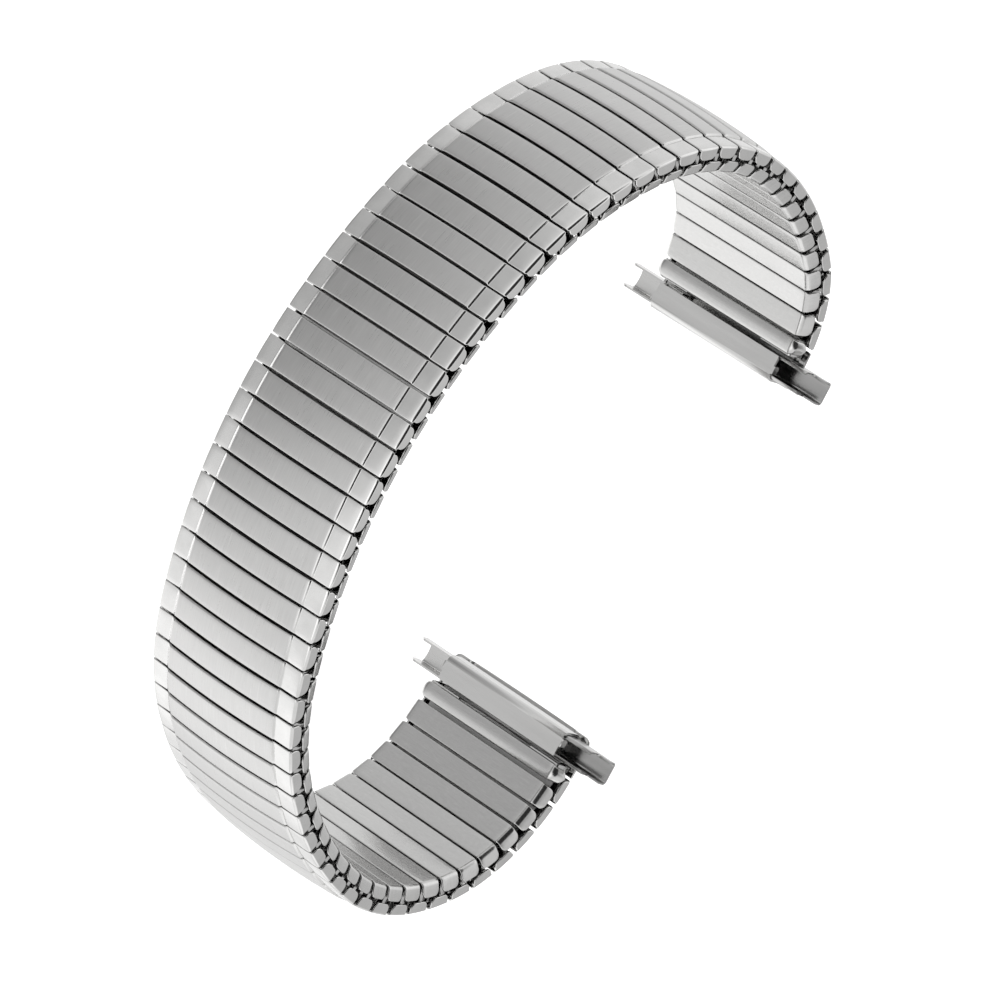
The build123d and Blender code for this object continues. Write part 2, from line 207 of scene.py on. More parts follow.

# Plain sheet: name, brightness and roughness of each folded piece's steel; the near slides, springs and
# sleeves are made darker as painted shade
SHEET_STEELS = {
    "case": ("case steel", (0.6, 0.68), (0.17, 0.26)),
    "slide": ("slide steel", (0.66, 0.74), (0.2, 0.3)),
    # Painted shade: the near slides get a darker copy of the slide steel, for the shade in their troughs
    "near slide": ("near slide steel darkened as painted shade", (0.42, 0.5), (0.16, 0.26)),
    "staple": ("staple strip", (0.58, 0.66), (0.16, 0.25)),
    # Painted shade: springs and sleeves are darker than the other steel, for the shadow in the gaps where
    # they show
    "spring": ("spring strip darkened as painted shade", (0.4, 0.48), (0.25, 0.35)),
    "sleeve": ("sleeve sheet darkened as painted shade", (0.38, 0.46), (0.3, 0.42)),
}
ROLLED_STRETCH = (1000.0, 1000.0, 120.0)
SLOT_STEEL = {
    "case_steel": "case", "slide_steel": "slide", "staple_steel": "staple",
    "spring_steel": "spring", "sleeve_steel": "sleeve",
}
HIDDEN_STEELS = ("spring", "sleeve")

# The room: its level, and soft lobes of other levels as azimuth, elevation, core, edge and level
ROOM_LEVEL = 1.0
ROOM_LOBES = [
    (60, 72, 26, 38, 0.03),    # dark ceiling
    (50, 50, 33, 45, 0.03),    # dark ceiling over the camera
    (15, -40, 14, 36, 0.8),    # light grey table on one side of the camera
    (65, -62, 26, 48, 0.5),    # grey table below the camera
    (215, -33, 10, 55, 1.08),  # white table behind the band
    (176, -31, 6, 36, 1.42),   # bright table on the camera's other side
    (256, 2, 8, 24, 0.6),      # grey wall behind the band
    (259, 36, 16, 34, 0.64),   # grey wall behind the band, higher up
    (60, -68, 13, 25, 0.3),    # dark part of the table below the camera
    (195, -74, 14, 27, 1.6),   # white card nearly straight below
    (115, 12, 14, 30, 1.5),    # white card beside the camera
]

# The floor and the lamps: places in millimetres and powers in watts
WHITE = (1.0, 1.0, 1.0, 1.0)
FLOOR_REACH = 1200.0
FLOOR_CELLS = 4
FLOOR_PAINT = (0.8, 0.8, 0.8, 1.0)
FLOOR_GLOW = 0.85
LAMP_SIZE = 520.0
LAMPS = [("wall", (-700, -260, 300), 0.3), ("side", (600, -400, 340), 0.25)]

# Camera
CAMERA_AZIMUTH = 79.49
CAMERA_ELEVATION = 32.76
CAMERA_ROLL = 123.25
CAMERA_DISTANCE = 725.6
CAMERA_TARGET = (-2.547, -14.610, 4.255)
CAMERA_LENS = 316.6
CAMERA_SENSOR = 36.0
CAMERA_SIGHT = (0.01, 20.0)


# Places along the band

def band_start():
    """Where the band's middle line starts in the frame, in millimetres, read from the end pieces."""
    case_low, case_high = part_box("end_case_a")
    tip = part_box("near_slide_a")[1].z / MM
    x = case_low.x / MM + CASE_FREE_REACH + CASE_SHIFT_SHARE * LINK_PITCH
    return Vector((x, case_high.y / MM - CASE_WRIST_FACE, tip - NEAR_TIP))


START = band_start()


def place(station):
    """Matrix from a link's axes in millimetres to the frame, at a station counted in links."""
    x, y, angle = 0.0, 0.0, 0.0
    left = max(station, 0.0)
    for links, turn in STRETCHES:
        here = min(left, links)
        bend = math.radians(turn) * here
        chord = LINK_PITCH / math.radians(turn) * 2 * math.sin(bend / 2)
        x += chord * math.cos(angle + bend / 2)
        y += chord * math.sin(angle + bend / 2)
        angle += bend
        left -= here
    straight = (min(station, 0.0) + left) * LINK_PITCH
    x += straight * math.cos(angle)
    y += straight * math.sin(angle)
    spot = Matrix.Translation(START + Vector((x, y, 0))) @ Matrix.Rotation(angle, 4, "Z")
    return Matrix.Scale(MM, 4) @ spot


def chance(number):
    """A fixed value between -1 and 1 that looks random from one whole number to the next."""
    return 2 * (math.sin(number * CHANCE_STEP) * CHANCE_SPREAD % 1) - 1


def seating(station):
    """How loosely one cover sits: a little along the band, and a little turned."""
    slip = Matrix.Translation((LOOSE_SLIP * chance(station), 0, 0))
    lean = Matrix.Rotation(math.radians(LOOSE_LEAN) * chance(station + LEAN_DRAW), 4, "Z")
    skew = Matrix.Rotation(math.radians(LOOSE_SKEW) * chance(station + SKEW_DRAW), 4, "Y")
    return slip @ lean @ skew


# Bent sheets

def ease(value):
    """Smooth step from 0 to 1."""
    value = min(max(value, 0.0), 1.0)
    return value * value * (3 - 2 * value)


def corner_cut(corner, past):
    """How far a rounded corner has cut in at a distance past its start."""
    return corner - math.sqrt(max(corner ** 2 - past ** 2, 0.0))


class Sheet:
    """A bent strip of sheet steel, lofted row by row along the way across the band.

    Its face looks towards the wrist where way is 1, and outwards where way is -1.  Its tabs lean
    outwards by slant degrees, and their tips stand at the band's edges.
    """

    def __init__(self, level, way, bend, tab_end, sheet, edge, extent, tab_corner, rise=None, dome=0.0,
                 slant=0.0, tab_insets=(0.0, 0.0), inside_edge=INSIDE_EDGE):
        self.level = level
        self.way = way
        self.bend = bend
        self.tab_end = tab_end
        self.sheet = sheet
        self.edge = edge
        self.extent = extent
        self.tab_corner = tab_corner
        self.rise = rise or (lambda z: 0.0)
        self.dome = dome
        self.tab_insets = tab_insets
        self.inside_edge = inside_edge
        self.slant = math.radians(slant)
        self.turn = math.pi / 2 - self.slant
        depth = abs(level - tab_end)
        tangent = bend * math.tan(self.turn / 2)
        self.flat_end = BAND_WIDTH / 2 - depth * math.tan(self.slant) - tangent
        self.lean = math.atan(-self.slope(self.flat_end))
        self.flat_end += bend * math.sin(self.lean)
        self.drop = -self.rise(self.flat_end)
        self.tab = depth / math.cos(self.slant) - tangent - self.drop + bend * (1 - math.cos(self.lean))

    def slope(self, z):
        """Steepness of the face at z."""
        return (self.rise(z + SLOPE_REACH) - self.rise(z - SLOPE_REACH)) / (2 * SLOPE_REACH)

    def face_rows(self, places):
        """Rows on the face at z places: (y, z, normal y, normal z, length left to the tab's tip)."""
        rows = []
        for z in places:
            normal = Vector((self.way, -self.slope(z))).normalized()
            left = self.flat_end - abs(z) + self.bend * (self.turn - self.lean) + self.tab
            rows.append((self.level + self.way * self.rise(z), z, normal.x, normal.y, left))
        return rows

    def tab_rows(self):
        """Rows round the bend and down the tab at the near edge."""
        rows = []
        for step in range(1, BEND_STEPS + 1):
            angle = self.lean + (self.turn - self.lean) * step / BEND_STEPS
            y = self.level - self.way * (self.drop + self.bend * (math.cos(self.lean) - math.cos(angle)))
            z = self.flat_end + self.bend * (math.sin(angle) - math.sin(self.lean))
            left = self.tab + self.bend * (self.turn - angle)
            rows.append((y, z, self.way * math.cos(angle), math.sin(angle), left))
        middle = self.tab / 2
        lefts = [middle] if middle > self.tab_corner + TAB_MIDDLE_CLEAR else []
        for step in range(CORNER_STEPS):
            lefts.append(self.tab_corner * (1 - math.sin(math.pi / 2 * step / CORNER_STEPS)))
        down = self.way * math.cos(self.slant)
        out = math.sin(self.slant)
        for left in lefts:
            if left < self.tab:
                y = self.tab_end + down * left
                z = BAND_WIDTH / 2 - out * left
                rows.append((y, z, self.way * out, abs(down), left))
        return rows

    def edges(self, z, left):
        """Both long edges of the strip at one row, with the tab's inset and its round corners."""
        low, high = self.extent(z)
        cut = self.tab_insets[z > 0] * ease((self.tab + self.bend - left) / TAB_INSET_RUN)
        if left < self.tab_corner:
            cut += corner_cut(self.tab_corner, self.tab_corner - left)
        return low + cut, high - cut

    def loop(self, row):
        """The closed section of the strip at one row, as points."""
        y, z, normal_y, normal_z, left = row
        low, high = self.edges(z, left)
        outside, inside = self.edge(z), self.inside_edge
        side = []
        for step in range(OUTSIDE_EDGE_STEPS + 1):
            angle = math.pi / 2 * step / OUTSIDE_EDGE_STEPS
            side.append((high - outside + outside * math.sin(angle), outside * (1 - math.cos(angle))))
        for step in range(INSIDE_EDGE_STEPS + 1):
            angle = math.pi / 2 * step / INSIDE_EDGE_STEPS
            x = high - inside + inside * math.cos(angle)
            side.append((x, self.sheet - inside + inside * math.sin(angle)))
        middle = (low + high) / 2
        flat = high - low - 2 * outside
        face = [(low + outside + flat * step / FACE_STEPS, 0.0) for step in range(1, FACE_STEPS)]
        mirrored = [(2 * middle - x, depth) for x, depth in reversed(side)]
        points = []
        for x, depth in face + side + mirrored:
            share = (x - middle) / ((high - low) / 2)
            lift = self.dome * (1 - share ** 2) - depth
            points.append(Vector((x, y + normal_y * lift, z + normal_z * lift)))
        return points

    def loops(self, places):
        """All sections from the far tab to the near tab."""
        tab = self.tab_rows()
        far = [(y, -z, normal_y, -normal_z, left) for y, z, normal_y, normal_z, left in reversed(tab)]
        return [self.loop(row) for row in far + self.face_rows(places) + tab]


def add_loft(shape, loops, matrix, station):
    """Skin closed sections into a shape, close both ends and lay out its millimetre UV map."""
    layer = shape.loops.layers.uv.verify()
    rings = [[shape.verts.new(matrix @ point) for point in loop] for loop in loops]
    flat = {}
    for ring, loop in zip(rings, loops):
        for vert, point in zip(ring, loop):
            flat[vert] = (point.z, point.x + station * LINK_PITCH)
    faces = []
    for first, second in zip(rings, rings[1:]):
        for here in range(len(first)):
            after = (here + 1) % len(first)
            faces.append(shape.faces.new((first[here], first[after], second[after], second[here])))
    faces += [shape.faces.new(rings[0]), shape.faces.new(list(reversed(rings[-1])))]
    for face in faces:
        face.smooth = True
        for corner in face.loops:
            corner[layer].uv = flat[corner.vert]


def add_channel(shape, left, right, high, matrix, station):
    """The open box under a wrist plate: a floor, and two side walls up to the plate."""
    low, inside = BOX_FLOOR, BOX_FLOOR + INNER_WALL
    outline = [
        (left, high), (left, low + BOX_SIDE), (left + BOX_SIDE, low), (right - BOX_SIDE, low),
        (right, low + BOX_SIDE), (right, high), (right - BOX_SIDE, high), (right - BOX_SIDE, inside),
        (left + BOX_SIDE, inside), (left + BOX_SIDE, high),
    ]
    end = BOX_LENGTH / 2
    loops = [[Vector((x, y, z)) for x, y in outline] for z in (-end, -end / 3, end / 3, end)]
    add_loft(shape, loops, matrix, station)


def finished(name, shape, material, slot, body, *nodes):
    """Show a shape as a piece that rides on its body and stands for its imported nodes."""
    bmesh.ops.recalc_face_normals(shape, faces=shape.faces)
    mesh = bpy.data.meshes.new(name)
    shape.to_mesh(mesh)
    shape.free()
    mesh.materials.append(material)
    piece = bpy.data.objects.new(name, mesh)
    bpy.context.scene.collection.objects.link(piece)
    weighted = piece.modifiers.new("weighted normals", "WEIGHTED_NORMAL")
    weighted.keep_sharp = True
    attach(piece, body)
    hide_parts(*nodes)


# Stamped covers

def raised(z):
    """1 on a cover's raised centre, 0 on its shoulders: a slope at the far end, a lip at the near one."""
    past = abs(z) - COVER_CENTRE
    if z < 0:
        return ease(1 - past / FAR_STEP)
    if past < NEAR_LIP:
        return 1 - NEAR_LIP_DROP * max(past, 0.0) / NEAR_LIP
    return (1 - NEAR_LIP_DROP) * ease((NEAR_STEP - past) / (NEAR_STEP - NEAR_LIP))


def cover_rise(z):
    """Height of a stamped cover above its shoulders: a droop to the ends, a step up and a low crown."""
    share = min(abs(z) / COVER_CENTRE, 1.0)
    past = max(abs(z) - DROOP_START, 0.0) / (BAND_WIDTH / 2 - DROOP_START)
    return COVER_RISE * raised(z) + COVER_CROWN * (1 - share ** 2) - DROOP * past ** 2


def cover_edge(z):
    """Rounding of a cover's long edges: softer along the raised centre and at the ends."""
    end = (END_EDGE - COVER_EDGE) * ease(abs(z) - END_START)
    return COVER_EDGE + (CENTRE_EDGE - COVER_EDGE) * raised(z) + end


def cover_extent(flare):
    """Long edges of a cover: narrowest along the centre, and wider by the flare at the far end."""
    def extent(z):
        half = COVER_WIDTH / 2 - CENTRE_INSET * raised(z) + flare * ease(-z - END_START)
        return -half, half

    return extent


def half_places(end, run):
    """Rows of half a cover's face, close together at its step."""
    centre = [COVER_CENTRE * share for share in CENTRE_ROWS]
    step = [COVER_CENTRE + run * share for share in STEP_ROWS]
    shoulder = [COVER_CENTRE + run + STEP_CLEAR, DROOP_START]
    shoulder += [DROOP_START + (end - DROOP_START) * share for share in SHOULDER_ROWS]
    return centre + step + shoulder


def cover_places(sheet):
    """Rows of a cover's face from its far end to its near end."""
    far = half_places(sheet.flat_end, FAR_STEP)
    near = half_places(sheet.flat_end, NEAR_STEP)
    return [-z for z in reversed(far[1:])] + near


def outer_cover(flare):
    """A stamped cover with its tabs folded down, wider by the flare at its far end."""
    return Sheet(
        level=COVER_FACE + COVER_SETTLE, way=-1, bend=COVER_BEND, tab_end=COVER_TAB_END, sheet=COVER_SHEET,
        edge=cover_edge, extent=cover_extent(flare), tab_corner=COVER_TAB_CORNER, rise=cover_rise,
        dome=COVER_DOME, tab_insets=(FAR_TAB_INSET, NEAR_TAB_INSET),
    )


def end_cover_edge(z):
    """Rounding of an end cover's long edges."""
    return max(cover_edge(z), END_COVER_EDGE)


def end_cover_extent(side):
    """Long edges of an end cover: wide on the band's side, rounded at the free corners."""
    def extent(z):
        past = abs(z) - (BAND_WIDTH / 2 - END_COVER_CORNER)
        cut = corner_cut(END_COVER_CORNER, past) if past > 0 else 0.0
        free = END_COVER_FREE - cut * END_COVER_CORNER_SHARE
        return (-free, END_COVER_BAND) if side > 0 else (-END_COVER_BAND, free)

    return extent


def end_cover(side):
    """The stamped cover of an end piece, with short lips instead of tabs."""
    return Sheet(
        level=COVER_FACE + COVER_SETTLE, way=-1, bend=END_COVER_BEND, tab_end=COVER_FACE + END_COVER_LIP,
        sheet=COVER_SHEET, edge=end_cover_edge, extent=end_cover_extent(side),
        tab_corner=END_COVER_LIP_CORNER, rise=cover_rise, dome=COVER_DOME, inside_edge=END_COVER_INSIDE_EDGE,
    )


# Inner links

def link_extent(low, high, cut):
    """Long edges of an inner link: straight, then cut back to the narrower tab."""
    start = BOX_LENGTH / 2
    stop = BAND_WIDTH / 2 - INNER_TAB_DEPTH * math.tan(math.radians(INNER_TAB_SLANT))

    def extent(z):
        share = min(max((abs(z) - start) / (stop - start), 0.0), 1.0)
        return low + cut * share, high - cut * share

    return extent


def plain_link():
    """Plate and tabs of a plain inner link."""
    half = INNER_WIDTH / 2
    return Sheet(
        level=INNER_FACE, way=1, bend=INNER_BEND, tab_end=INNER_FACE - INNER_TAB_DEPTH, sheet=INNER_WALL,
        edge=lambda z: INNER_EDGE, extent=link_extent(-half, half, (INNER_WIDTH - INNER_TAB_WIDTH) / 2),
        tab_corner=INNER_TAB_CORNER, dome=INNER_DOME, slant=INNER_TAB_SLANT,
    )


def domed_link(side):
    """Plate and tabs of a domed link, set towards the band."""
    low, high = sorted((side * RIDGE_CASE_EDGE, side * RIDGE_BAND_EDGE))
    return Sheet(
        level=RIDGE_FACE, way=1, bend=INNER_BEND, tab_end=RIDGE_FACE - INNER_TAB_DEPTH, sheet=INNER_WALL,
        edge=lambda z: RIDGE_EDGE, extent=link_extent(low, high, RIDGE_TAB_CUT),
        tab_corner=INNER_TAB_CORNER, dome=RIDGE_DOME, slant=INNER_TAB_SLANT,
    )


def link_places(sheet):
    """Rows of an inner link's plate from its far end to its near end."""
    near = [sheet.flat_end * share for share in PLATE_ROWS]
    return [-z for z in reversed(near[1:])] + near


def add_link(shape, sheet, station):
    """One inner link: its plate with tabs, and the open box under it."""
    add_loft(shape, sheet.loops(link_places(sheet)), place(station), station)
    low, high = sheet.extent(0)
    wall_top = sheet.level - INNER_WALL
    add_channel(shape, low + BOX_INSET, high - BOX_INSET, wall_top, place(station), station)


# The band's pieces

def build_segment(segment, steel):
    """Covers and plain inner links of one segment; only the covers between two others flare."""
    first = sum(SEGMENT_LINKS[:segment - 1]) + 1
    last = first + SEGMENT_LINKS[segment - 1] - 1
    body = f"segment_{segment}"
    covers, links = bmesh.new(), bmesh.new()
    inner_cover, last_cover, link = outer_cover(FAR_FLARE), outer_cover(0.0), plain_link()
    for station in range(first, last + 1):
        cover = last_cover if station in (first, last) else inner_cover
        add_loft(covers, cover.loops(cover_places(cover)), place(station) @ seating(station), station)
        if station > 1:
            add_link(links, link, station - INNER_SHARE)
    finished(f"covers_{segment}", covers, steel["cover"], "cover_steel", body, f"outer_covers_{segment}")
    finished(f"links_{segment}", links, steel["link"], "link_steel", body, f"inner_links_{segment}")


def build_end(name, side, link_segment, link_station, case_station, steel):
    """The domed link beside an end piece, and the end piece's cover."""
    link, cover = bmesh.new(), bmesh.new()
    add_link(link, domed_link(side), link_station)
    body = f"segment_{link_segment}"
    finished(f"domed_link_{name}", link, steel["link"], "link_steel", body, f"ridge_link_{name}")
    sheet = end_cover(side)
    add_loft(cover, sheet.loops(cover_places(sheet)), place(case_station), case_station)
    finished(f"end_cap_{name}", cover, steel["cover"], "cover_steel", f"end_{name}", f"end_cover_{name}")


def build_band(steel):
    """Every cover and inner link from end piece to end piece."""
    for segment in range(1, len(SEGMENT_LINKS) + 1):
        build_segment(segment, steel)
    build_end("a", 1, 1, INNER_SHARE, -CASE_SHIFT_SHARE, steel)
    build_end(
        "b", -1, len(SEGMENT_LINKS), OUTER_LINKS + INNER_SHARE, OUTER_LINKS + 1 + CASE_SHIFT_SHARE, steel,
    )


def dress_frame(steel):
    """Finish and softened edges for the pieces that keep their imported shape."""
    for part in frame["record"]["subparts"]:
        node = frame["nodes"][part["node"]]
        finish = SLOT_STEEL.get(part["material_slot"])
        if finish is None:
            continue
        # Painted shade: the near slides take the darker near slide steel in place of the slide steel
        if part["node"].startswith("near_slide"):
            finish = "near slide"
        for slot in node.material_slots:
            slot.material = steel[finish]
        weld = node.modifiers.new("weld", "WELD")
        weld.merge_threshold = WELD_REACH * MM
        if finish in HIDDEN_STEELS:
            continue
        bevel = node.modifiers.new("bevel", "BEVEL")
        bevel.width = SOFT_EDGE * MM
        bevel.segments = SOFT_EDGE_STEPS
        bevel.limit_method = "ANGLE"
        bevel.angle_limit = math.radians(SOFT_EDGE_ANGLE)
        bevel.harden_normals = True


# Shader nodes

def joined(tree, kind, inputs, **settings):
    """A node with its settings, and its inputs linked or set."""
    node = tree.nodes.new(kind)
    for label, value in settings.items():
        setattr(node, label, value)
    for label, value in inputs.items():
        if isinstance(value, bpy.types.NodeSocket):
            tree.links.new(value, node.inputs[label])
        else:
            node.inputs[label].default_value = value
    return node


def sums(tree, operation, first, second=0.0, third=0.0):
    """A math node's output."""
    node = joined(tree, "ShaderNodeMath", {0: first, 1: second, 2: third}, operation=operation)
    return node.outputs[0]


def scaled(tree, vector, factors):
    """A vector multiplied part by part."""
    node = joined(tree, "ShaderNodeVectorMath", {0: vector, 1: factors}, operation="MULTIPLY")
    return node.outputs[0]


def noise(tree, vector, scale, detail, roughness=0.5):
    """A noise pattern's value."""
    inputs = {"Vector": vector, "Scale": scale, "Detail": detail, "Roughness": roughness}
    return joined(tree, "ShaderNodeTexNoise", inputs).outputs[0]


def graded(tree, value, span, to_span, interpolation="LINEAR"):
    """A value carried from one span to another, and held at its ends."""
    inputs = {"Value": value, "From Min": span[0], "From Max": span[1]}
    inputs.update({"To Min": to_span[0], "To Max": to_span[1]})
    return joined(tree, "ShaderNodeMapRange", inputs, interpolation_type=interpolation).outputs[0]


def mixed(tree, factor, first, second):
    """One value turning into another by a factor."""
    return joined(tree, "ShaderNodeMix", {"Factor": factor, "A": first, "B": second}).outputs["Result"]


def feed(tree, node, sources):
    """Link sockets to a node's inputs by label."""
    for label, source in sources.items():
        tree.links.new(source, node.inputs[label])


# Patterns that the finishes share

def node_group(name, inputs, outputs):
    """A shader node group with named sockets, and its input and output nodes."""
    group = bpy.data.node_groups.new(name, "ShaderNodeTree")
    for label, kind, value in inputs:
        socket = group.interface.new_socket(label, in_out="INPUT", socket_type=kind)
        if value is not None:
            socket.default_value = value
    for label in outputs:
        group.interface.new_socket(label, in_out="OUTPUT", socket_type="NodeSocketFloat")
    return group, group.nodes.new("NodeGroupInput"), group.nodes.new("NodeGroupOutput")


def brushing_group():
    """Hairlines: fine grain drawn out along one way, with some deeper single scratches."""
    group, source, sink = node_group(
        "brushing",
        [("Vector", "NodeSocketVector", None), ("Across", "NodeSocketFloat", 18.0),
         ("Along", "NodeSocketFloat", 0.5), ("Scratches", "NodeSocketFloat", 0.5)],
        ["Grain", "Scratch", "Height"],
    )
    drawn = {0: source.outputs["Across"], 1: source.outputs["Along"], 2: 1.0}
    lines = scaled(group, source.outputs["Vector"], joined(group, "ShaderNodeCombineXYZ", drawn).outputs[0])
    grain = noise(group, lines, scale=1.0, detail=4.0, roughness=0.65)
    single = noise(group, scaled(group, lines, SCRATCH_STRETCH), scale=1.0, detail=2.0)
    cut = graded(group, single, SCRATCH_SPAN, WHOLE, "SMOOTHSTEP")
    scratch = sums(group, "MULTIPLY", cut, source.outputs["Scratches"])
    feed(group, sink, {"Grain": grain, "Scratch": scratch, "Height": sums(group, "SUBTRACT", grain, scratch)})
    return group


def mottle_group():
    """Slow variation of a rolled steel surface, and its handled spots."""
    group, source, sink = node_group(
        "mottle",
        [("Vector", "NodeSocketVector", None), ("Scale", "NodeSocketFloat", 1.2)],
        ["Patches", "Spots"],
    )
    vector, scale = source.outputs["Vector"], source.outputs["Scale"]
    patches = noise(group, vector, scale, detail=3.0)
    spots = noise(group, vector, sums(group, "MULTIPLY", scale, SPOT_FINENESS), detail=2.0)
    feed(group, sink, {"Patches": patches, "Spots": graded(group, spots, SPOT_SPAN, WHOLE, "SMOOTHSTEP")})
    return group


# Finishes

def steel_material(name):
    """A new metal material, with its nodes and its shader."""
    material = bpy.data.materials.new(name)
    material.use_nodes = True
    shader = material.node_tree.nodes["Principled BSDF"]
    shader.inputs["Metallic"].default_value = 1.0
    return material, material.node_tree, shader


def patterned(tree, groups, vector, across, along, scratches, scale):
    """The brushing and the mottle of one finish, placed with its own values."""
    lines = {"Vector": vector, "Across": across, "Along": along, "Scratches": scratches}
    brushed = joined(tree, "ShaderNodeGroup", lines, node_tree=groups["brushing"])
    mottled = joined(tree, "ShaderNodeGroup", {"Vector": vector, "Scale": scale}, node_tree=groups["mottle"])
    return brushed.outputs, mottled.outputs


def steel_grey(tree, value):
    """A nearly neutral steel colour from one brightness."""
    parts = {index: sums(tree, "MULTIPLY", value, share) for index, share in enumerate(STEEL_TINT)}
    return joined(tree, "ShaderNodeCombineColor", parts).outputs[0]


def set_finish(tree, shader, brightness, roughness, height, strength):
    """Feed a steel's brightness, roughness and fine relief to its shader."""
    relief = {"Strength": strength, "Distance": BUMP_HEIGHT, "Height": height}
    bump = joined(tree, "ShaderNodeBump", relief).outputs[0]
    colour = steel_grey(tree, brightness)
    feed(tree, shader, {"Base Color": colour, "Roughness": roughness, "Normal": bump})


def shoulder_light(tree, along, patches):
    """Brightness of the shoulders: patchy, with a painted highlight that makes them brighter over part of the
    band.
    """
    risen = graded(tree, along, PAINTED_SHEEN_RISE, WHOLE)
    kept = graded(tree, along, PAINTED_SHEEN_FALL, (1.0, 0.0))
    patchy = graded(tree, patches, NOISE_MIDDLE, SHOULDER_LIGHT)
    # Painted highlight: the shoulders' colour rises by the gain between the rise and fall stretches of the
    # band
    return sums(tree, "MULTIPLY_ADD", sums(tree, "MULTIPLY", risen, kept), PAINTED_SHEEN_GAIN, patchy)


def cover_finish(groups):
    """Satin centre brushed along the band, polished shoulders and tabs."""
    material, tree, shader = steel_material("brushed cover steel")
    uv = joined(tree, "ShaderNodeUVMap", {}).outputs[0]
    brushed, mottled = patterned(tree, groups, uv, across=9.0, along=0.35, scratches=0.6, scale=0.5)
    apart = joined(tree, "ShaderNodeSeparateXYZ", {0: uv}).outputs
    reach = sums(tree, "ABSOLUTE", apart[0])
    centre = graded(tree, reach, (COVER_CENTRE, COVER_CENTRE + NEAR_STEP), (1.0, 0.0))
    satin = sums(
        tree, "ADD", graded(tree, brushed["Grain"], NOISE_MIDDLE, CENTRE_ROUGHNESS),
        graded(tree, mottled["Patches"], NOISE_MIDDLE, PATCHY_ROUGHNESS),
    )
    polished = graded(tree, mottled["Spots"], WHOLE, SHOULDER_ROUGHNESS)
    scratched = sums(tree, "MULTIPLY", brushed["Scratch"], SCRATCH_LIGHT)
    bright = sums(tree, "ADD", graded(tree, brushed["Grain"], NOISE_WIDE, CENTRE_LIGHT), scratched)
    # Shoulder brightness, with the painted highlight along part of the band
    plain = shoulder_light(tree, apart[1], mottled["Patches"])
    relief = sums(tree, "MULTIPLY_ADD", centre, 1.0 - SHOULDER_GRAIN, SHOULDER_GRAIN)
    height = sums(tree, "MULTIPLY", brushed["Height"], relief)
    brightness, roughness = mixed(tree, centre, plain, bright), mixed(tree, centre, polished, satin)
    set_finish(tree, shader, brightness, roughness, height, COVER_BUMP)
    return material


def link_finish(groups):
    """Fine satin strip, rolled across the band, with a few handling marks."""
    material, tree, shader = steel_material("satin link steel")
    uv = joined(tree, "ShaderNodeUVMap", {}).outputs[0]
    brushed, mottled = patterned(tree, groups, uv, across=0.6, along=14.0, scratches=0.3, scale=0.4)
    roughness = sums(
        tree, "ADD", graded(tree, brushed["Grain"], NOISE_MIDDLE, LINK_ROUGHNESS),
        graded(tree, mottled["Patches"], NOISE_MIDDLE, PATCHY_ROUGHNESS),
    )
    brightness = sums(
        tree, "ADD", graded(tree, brushed["Grain"], NOISE_WIDE, LINK_LIGHT),
        graded(tree, mottled["Spots"], WHOLE, SPOT_LIGHT),
    )
    set_finish(tree, shader, brightness, roughness, brushed["Height"], LINK_BUMP)
    return material


def sheet_finish(groups, name, light, rough):
    """Plain rolled sheet for the folded pieces, patterned in millimetres from the frame's axes."""
    material, tree, shader = steel_material(name)
    place_in = joined(tree, "ShaderNodeTexCoord", {}).outputs["Object"]
    rolled = scaled(tree, place_in, ROLLED_STRETCH)
    brushed, mottled = patterned(tree, groups, rolled, across=4.0, along=4.0, scratches=0.4, scale=0.7)
    brightness = graded(tree, mottled["Patches"], NOISE_MIDDLE, light)
    roughness = graded(tree, brushed["Grain"], NOISE_MIDDLE, rough)
    set_finish(tree, shader, brightness, roughness, brushed["Height"], SHEET_BUMP)
    return material


def finishes():
    """All finishes of the band by name."""
    groups = {"brushing": brushing_group(), "mottle": mottle_group()}
    steel = {"cover": cover_finish(groups), "link": link_finish(groups)}
    for finish, values in SHEET_STEELS.items():
        steel[finish] = sheet_finish(groups, *values)
    return steel


# The studio

def floor_material():
    """White paper that keeps the shadow; the steel sees the studio through it."""
    material = bpy.data.materials.new("white floor")
    material.use_nodes = True
    tree = material.node_tree
    tree.nodes.clear()
    path = tree.nodes.new("ShaderNodeLightPath")
    paint = joined(tree, "ShaderNodeBsdfDiffuse", {"Color": FLOOR_PAINT}).outputs[0]
    seen = sums(tree, "MULTIPLY", path.outputs["Is Camera Ray"], FLOOR_GLOW)
    glow = joined(tree, "ShaderNodeEmission", {"Color": WHITE, "Strength": seen}).outputs[0]
    paper = joined(tree, "ShaderNodeAddShader", {0: paint, 1: glow}).outputs[0]
    clear = joined(tree, "ShaderNodeBsdfTransparent", {}).outputs[0]
    passing = sums(tree, "MAXIMUM", path.outputs["Is Glossy Ray"], path.outputs["Is Shadow Ray"])
    both = joined(tree, "ShaderNodeMixShader", {0: passing, 1: paper, 2: clear}).outputs[0]
    feed(tree, tree.nodes.new("ShaderNodeOutputMaterial"), {"Surface": both})
    return material


def build_floor():
    """The sheet of paper that the band lies on."""
    shape = bmesh.new()
    bmesh.ops.create_grid(shape, x_segments=FLOOR_CELLS, y_segments=FLOOR_CELLS, size=FLOOR_REACH * MM)
    mesh = bpy.data.meshes.new("floor")
    shape.to_mesh(mesh)
    shape.free()
    mesh.materials.append(floor_material())
    floor = bpy.data.objects.new("floor", mesh)
    bpy.context.scene.collection.objects.link(floor)


def toward(azimuth, elevation):
    """The unit vector at an azimuth and an elevation in degrees."""
    around, up = math.radians(azimuth), math.radians(elevation)
    return Vector((math.cos(up) * math.cos(around), math.cos(up) * math.sin(around), math.sin(up)))


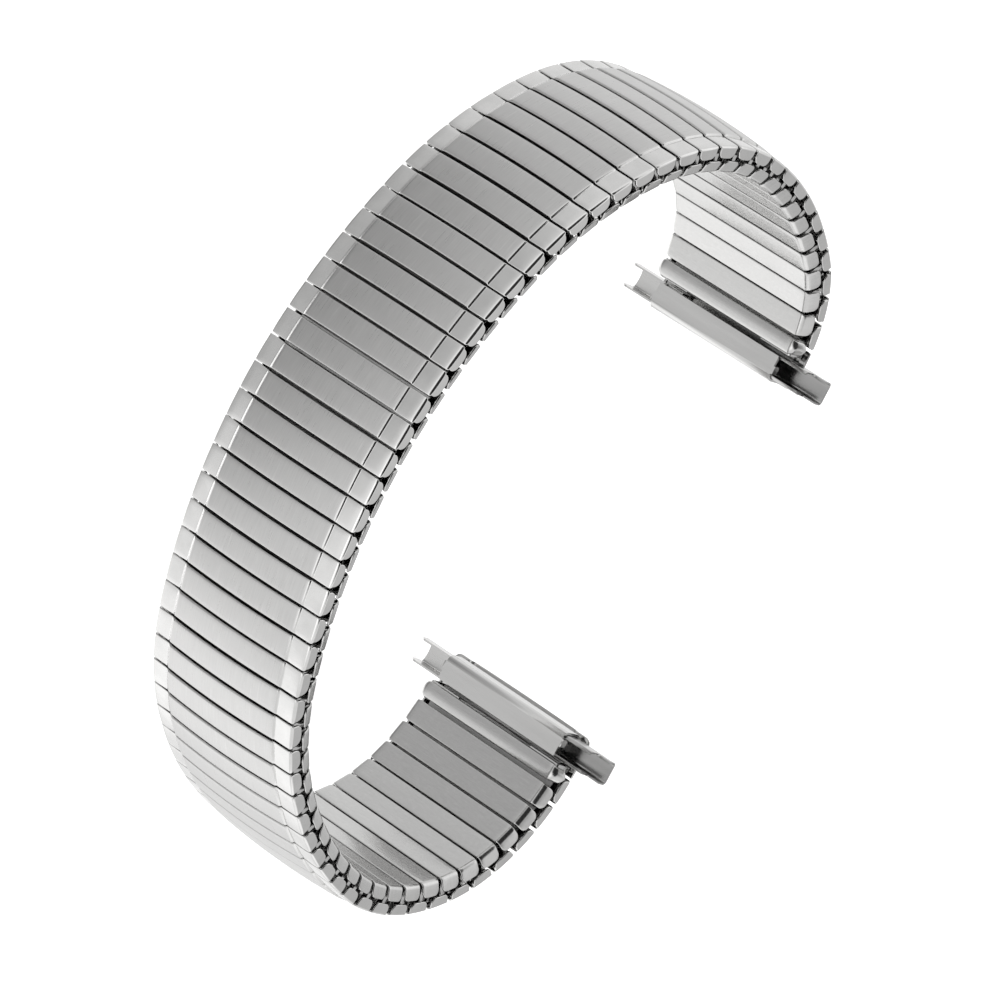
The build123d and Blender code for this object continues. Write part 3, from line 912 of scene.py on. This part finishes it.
def lobe(tree, direction, azimuth, elevation, core, edge):
    """1 within core degrees of one direction of the room, falling softly to 0 at edge degrees."""
    towards = {0: direction, 1: toward(azimuth, elevation)}
    dot = joined(tree, "ShaderNodeVectorMath", towards, operation="DOT_PRODUCT").outputs["Value"]
    limits = (math.cos(math.radians(edge)), math.cos(math.radians(core)))
    return graded(tree, dot, limits, WHOLE, "SMOOTHSTEP")


def build_world():
    """A light room with a dark ceiling over the camera's side and brighter and darker parts below."""
    world = bpy.data.worlds.new("studio")
    bpy.context.scene.world = world
    world.use_nodes = True
    tree = world.node_tree
    tree.nodes.clear()
    direction = joined(tree, "ShaderNodeTexCoord", {}).outputs["Generated"]
    level = ROOM_LEVEL
    for azimuth, elevation, core, edge, shade in ROOM_LOBES:
        level = mixed(tree, lobe(tree, direction, azimuth, elevation, core, edge), level, shade)
    camera_ray = tree.nodes.new("ShaderNodeLightPath").outputs["Is Camera Ray"]
    strength = mixed(tree, camera_ray, level, 1.0)
    back = joined(tree, "ShaderNodeBackground", {"Color": WHITE, "Strength": strength}).outputs[0]
    feed(tree, tree.nodes.new("ShaderNodeOutputWorld"), {"Surface": back})


def build_lamp(name, spot, power):
    """A square soft lamp, aimed at the middle of the frame."""
    light = bpy.data.lights.new(name, "AREA")
    light.shape = "SQUARE"
    light.size = LAMP_SIZE * MM
    light.energy = power
    lamp = bpy.data.objects.new(name, light)
    way = (-Vector(spot)).normalized()
    aim = way.to_track_quat("-Z", "Y").to_matrix().to_4x4()
    lamp.matrix_world = Matrix.Translation(Vector(spot) * MM) @ aim
    bpy.context.scene.collection.objects.link(lamp)


def build_camera():
    """The camera at the photograph's viewing angle."""
    camera = bpy.data.cameras.new("camera")
    camera.lens = CAMERA_LENS
    camera.sensor_width = CAMERA_SENSOR
    camera.clip_start, camera.clip_end = CAMERA_SIGHT
    holder = bpy.data.objects.new("camera", camera)
    way = toward(CAMERA_AZIMUTH, CAMERA_ELEVATION)
    spot = (Vector(CAMERA_TARGET) + way * CAMERA_DISTANCE) * MM
    level = way.to_track_quat("Z", "Y").to_matrix().to_4x4()
    roll = Matrix.Rotation(math.radians(CAMERA_ROLL), 4, "Z")
    holder.matrix_world = Matrix.Translation(spot) @ level @ roll
    bpy.context.scene.collection.objects.link(holder)
    bpy.context.scene.camera = holder


def main():
    """The whole scene."""
    bpy.context.scene.view_settings.view_transform = "Standard"
    steel = finishes()
    build_band(steel)
    dress_frame(steel)
    build_floor()
    build_world()
    for name, spot, power in LAMPS:
        build_lamp(name, spot, power)
    build_camera()


main()
